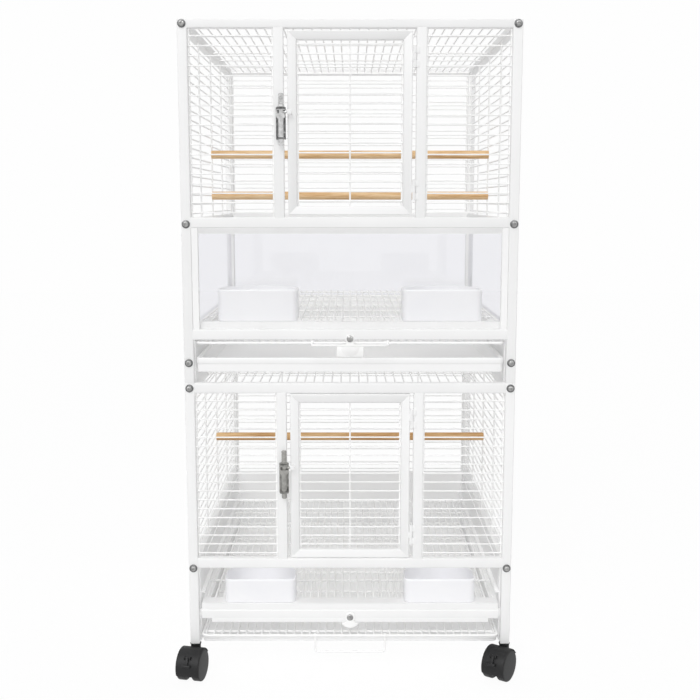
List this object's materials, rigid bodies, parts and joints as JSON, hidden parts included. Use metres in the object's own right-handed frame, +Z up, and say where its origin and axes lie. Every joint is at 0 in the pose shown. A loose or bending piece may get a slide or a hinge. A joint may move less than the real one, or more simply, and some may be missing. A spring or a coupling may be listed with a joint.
{
  "type": "two-storey bird cage on casters",
  "caption": "Two stacked wire bird cages on casters: swing doors with latches, pull-out grates and trays, clear lower panels, perches and feed cups.",
  "frame": {"origin": "on the floor under the middle of the cage", "axes": "front with both doors towards -Y, +X to the right seen from the front, +Z up"},
  "size_m": [0.4856, 0.606, 0.9005],
  "materials": {
    "frame_white": "satin",
    "wire_white": "satin",
    "tray_white": "gloss",
    "clear_panel": "clear acrylic",
    "channel_white": "gloss",
    "cup_white": "satin",
    "perch_wood": "bare dowel",
    "latch_metal": "dull",
    "latch_chrome": "polished",
    "bolt_zinc": "zinc plated",
    "caster_plastic": "matte",
    "wheel_plastic": "satin"
  },
  "bodies": {
    "lower_cage": {"lower_front_frame": "frame_white", "lower_back_frame": "frame_white", "lower_side_frames": "frame_white", "lower_front_mesh": "wire_white", "lower_back_mesh": "wire_white", "lower_side_meshes": "wire_white", "lower_top_mesh": "wire_white", "lower_door_hinges": "frame_white", "lower_latch_bracket": "latch_metal", "lower_perch": "perch_wood", "lower_floor_grate": "wire_white", "lower_bolts": "bolt_zinc", "caster_stems": "bolt_zinc"},
    "upper_cage": {"upper_front_frame": "frame_white", "upper_back_frame": "frame_white", "upper_side_frames": "frame_white", "upper_front_mesh": "wire_white", "upper_back_mesh": "wire_white", "upper_side_meshes": "wire_white", "upper_top_mesh": "wire_white", "upper_door_hinges": "frame_white", "upper_latch_bracket": "latch_chrome", "upper_perches": "perch_wood", "upper_front_window": "clear_panel", "upper_fixed_windows": "clear_panel", "upper_window_channels": "channel_white", "upper_floor_grate": "wire_white", "upper_cup_guards": "clear_panel", "upper_bolts": "bolt_zinc"},
    "upper_door": {"upper_door_frame": "frame_white", "upper_door_mesh": "wire_white"},
    "upper_latch": {"upper_latch_rod": "latch_chrome"},
    "upper_grate": {"upper_pull_grate": "wire_white", "upper_turn_screw": "bolt_zinc"},
    "upper_handle": {"upper_grate_handle": "wire_white"},
    "upper_lock": {"upper_turn_plate": "wire_white"},
    "upper_drawer": {"upper_tray": "tray_white"},
    "upper_left_cup": {"upper_cup_left": "cup_white"},
    "upper_right_cup": {"upper_cup_right": "cup_white"},
    "lower_door": {"lower_door_frame": "frame_white", "lower_door_mesh": "wire_white"},
    "lower_latch": {"lower_latch_rod": "latch_metal"},
    "lower_grate": {"lower_pull_grate": "wire_white"},
    "lower_handle": {"lower_grate_handle": "wire_white"},
    "lower_lock": {"lower_turn_plate": "wire_white"},
    "lower_drawer": {"lower_tray": "tray_white"},
    "lower_left_cup": {"lower_cup_left": "cup_white"},
    "lower_right_cup": {"lower_cup_right": "cup_white"},
    "swivel_fl": {"caster_housing_fl": "caster_plastic"},
    "wheels_fl": {"caster_wheels_fl": "wheel_plastic"},
    "brake_fl": {"caster_brake_fl": "caster_plastic"},
    "swivel_fr": {"caster_housing_fr": "caster_plastic"},
    "wheels_fr": {"caster_wheels_fr": "wheel_plastic"},
    "brake_fr": {"caster_brake_fr": "caster_plastic"},
    "swivel_bl": {"caster_housing_bl": "caster_plastic"},
    "wheels_bl": {"caster_wheels_bl": "wheel_plastic"},
    "brake_bl": {"caster_brake_bl": "caster_plastic"},
    "swivel_br": {"caster_housing_br": "caster_plastic"},
    "wheels_br": {"caster_wheels_br": "wheel_plastic"},
    "brake_br": {"caster_brake_br": "caster_plastic"}
  },
  "joints": [
    {"name": "upper_cage_lift", "type": "slide", "parent": "lower_cage", "child": "upper_cage", "axis": [0, 0, 1], "range_m": [0, 0.12]},
    {"name": "upper_door_hinge", "type": "hinge", "parent": "upper_cage", "child": "upper_door", "pos_m": [0.0845, -0.2665, 0.7675], "axis": [0, 0, 1], "range_deg": [0, 170]},
    {"name": "upper_latch_turn", "type": "hinge", "parent": "upper_cage", "child": "upper_latch", "pos_m": [-0.09025, -0.2715, 0.7675], "axis": [0, 0, -1], "range_deg": [0, 100]},
    {"name": "upper_grate_slide", "type": "slide", "parent": "upper_cage", "child": "upper_grate", "axis": [0, -1, 0], "range_m": [0, 0.4]},
    {"name": "upper_handle_swing", "type": "hinge", "parent": "upper_grate", "child": "upper_handle", "pos_m": [0, -0.262, 0.4765], "axis": [1, 0, 0], "range_deg": [-30, 72]},
    {"name": "upper_turn_plate", "type": "hinge", "parent": "upper_grate", "child": "upper_lock", "pos_m": [0, -0.268, 0.483], "axis": [0, 1, 0], "range_deg": [-100, 100]},
    {"name": "upper_tray_slide", "type": "slide", "parent": "upper_cage", "child": "upper_drawer", "axis": [0, -1, 0], "range_m": [0, 0.42]},
    {"name": "upper_left_cup_lift", "type": "slide", "parent": "upper_cage", "child": "upper_left_cup", "axis": [0, 0, 1], "range_m": [0, 0.05]},
    {"name": "upper_right_cup_lift", "type": "slide", "parent": "upper_cage", "child": "upper_right_cup", "axis": [0, 0, 1], "range_m": [0, 0.05]},
    {"name": "lower_door_hinge", "type": "hinge", "parent": "lower_cage", "child": "lower_door", "pos_m": [0.0845, -0.2665, 0.2905], "axis": [0, 0, 1], "range_deg": [0, 170]},
    {"name": "lower_latch_turn", "type": "hinge", "parent": "lower_cage", "child": "lower_latch", "pos_m": [-0.09025, -0.2715, 0.2905], "axis": [0, 0, -1], "range_deg": [0, 100]},
    {"name": "lower_grate_slide", "type": "slide", "parent": "lower_cage", "child": "lower_grate", "axis": [0, -1, 0], "range_m": [0, 0.4]},
    {"name": "lower_handle_swing", "type": "hinge", "parent": "lower_grate", "child": "lower_handle", "pos_m": [0, -0.266, 0.0615], "axis": [-1, 0, 0], "range_deg": [0, 95]},
    {"name": "lower_turn_plate", "type": "hinge", "parent": "lower_cage", "child": "lower_lock", "pos_m": [0, -0.268, 0.0889], "axis": [0, 1, 0], "range_deg": [-100, 100]},
    {"name": "lower_tray_slide", "type": "slide", "parent": "lower_cage", "child": "lower_drawer", "axis": [0, -1, 0], "range_m": [0, 0.4]},
    {"name": "lower_left_cup_lift", "type": "slide", "parent": "lower_cage", "child": "lower_left_cup", "axis": [0, 0, 1], "range_m": [0, 0.012]},
    {"name": "lower_right_cup_lift", "type": "slide", "parent": "lower_cage", "child": "lower_right_cup", "axis": [0, 0, 1], "range_m": [0, 0.012]},
    {"name": "caster_swivel_fl", "type": "hinge", "parent": "lower_cage", "child": "swivel_fl", "pos_m": [-0.2185, -0.2585, 0.044], "axis": [0, 0, 1], "continuous": true},
    {"name": "caster_roll_fl", "type": "hinge", "parent": "swivel_fl", "child": "wheels_fl", "pos_m": [-0.22162, -0.27317, 0.022], "axis": [0.9781, -0.2079, 0], "continuous": true},
    {"name": "caster_brake_fl", "type": "hinge", "parent": "swivel_fl", "child": "brake_fl", "pos_m": [-0.2257, -0.29238, 0.03981], "axis": [0.9781, -0.2079, 0], "range_deg": [-12, 0]},
    {"name": "caster_swivel_fr", "type": "hinge", "parent": "lower_cage", "child": "swivel_fr", "pos_m": [0.2185, -0.2585, 0.044], "axis": [0, 0, 1], "continuous": true},
    {"name": "caster_roll_fr", "type": "hinge", "parent": "swivel_fr", "child": "wheels_fr", "pos_m": [0.21011, -0.27094, 0.022], "axis": [0.829, -0.5592, 0], "continuous": true},
    {"name": "caster_brake_fr", "type": "hinge", "parent": "swivel_fr", "child": "brake_fr", "pos_m": [0.19913, -0.28722, 0.03981], "axis": [0.829, -0.5592, 0], "range_deg": [-12, 0]},
    {"name": "caster_swivel_bl", "type": "hinge", "parent": "lower_cage", "child": "swivel_bl", "pos_m": [-0.2185, 0.2585, 0.044], "axis": [0, 0, 1], "continuous": true},
    {"name": "caster_roll_bl", "type": "hinge", "parent": "swivel_bl", "child": "wheels_bl", "pos_m": [-0.21011, 0.27094, 0.022], "axis": [-0.829, 0.5592, 0], "continuous": true},
    {"name": "caster_brake_bl", "type": "hinge", "parent": "swivel_bl", "child": "brake_bl", "pos_m": [-0.19913, 0.28722, 0.03981], "axis": [-0.829, 0.5592, 0], "range_deg": [-12, 0]},
    {"name": "caster_swivel_br", "type": "hinge", "parent": "lower_cage", "child": "swivel_br", "pos_m": [0.2185, 0.2585, 0.044], "axis": [0, 0, 1], "continuous": true},
    {"name": "caster_roll_br", "type": "hinge", "parent": "swivel_br", "child": "wheels_br", "pos_m": [0.22162, 0.27317, 0.022], "axis": [-0.9781, 0.2079, 0], "continuous": true},
    {"name": "caster_brake_br", "type": "hinge", "parent": "swivel_br", "child": "brake_br", "pos_m": [0.2257, 0.29238, 0.03981], "axis": [-0.9781, 0.2079, 0], "range_deg": [-12, 0]}
  ],
  "couplings": [
    {"joint": "lower_tray_slide", "follows": "lower_grate_slide", "ratio": 1}
  ]
}
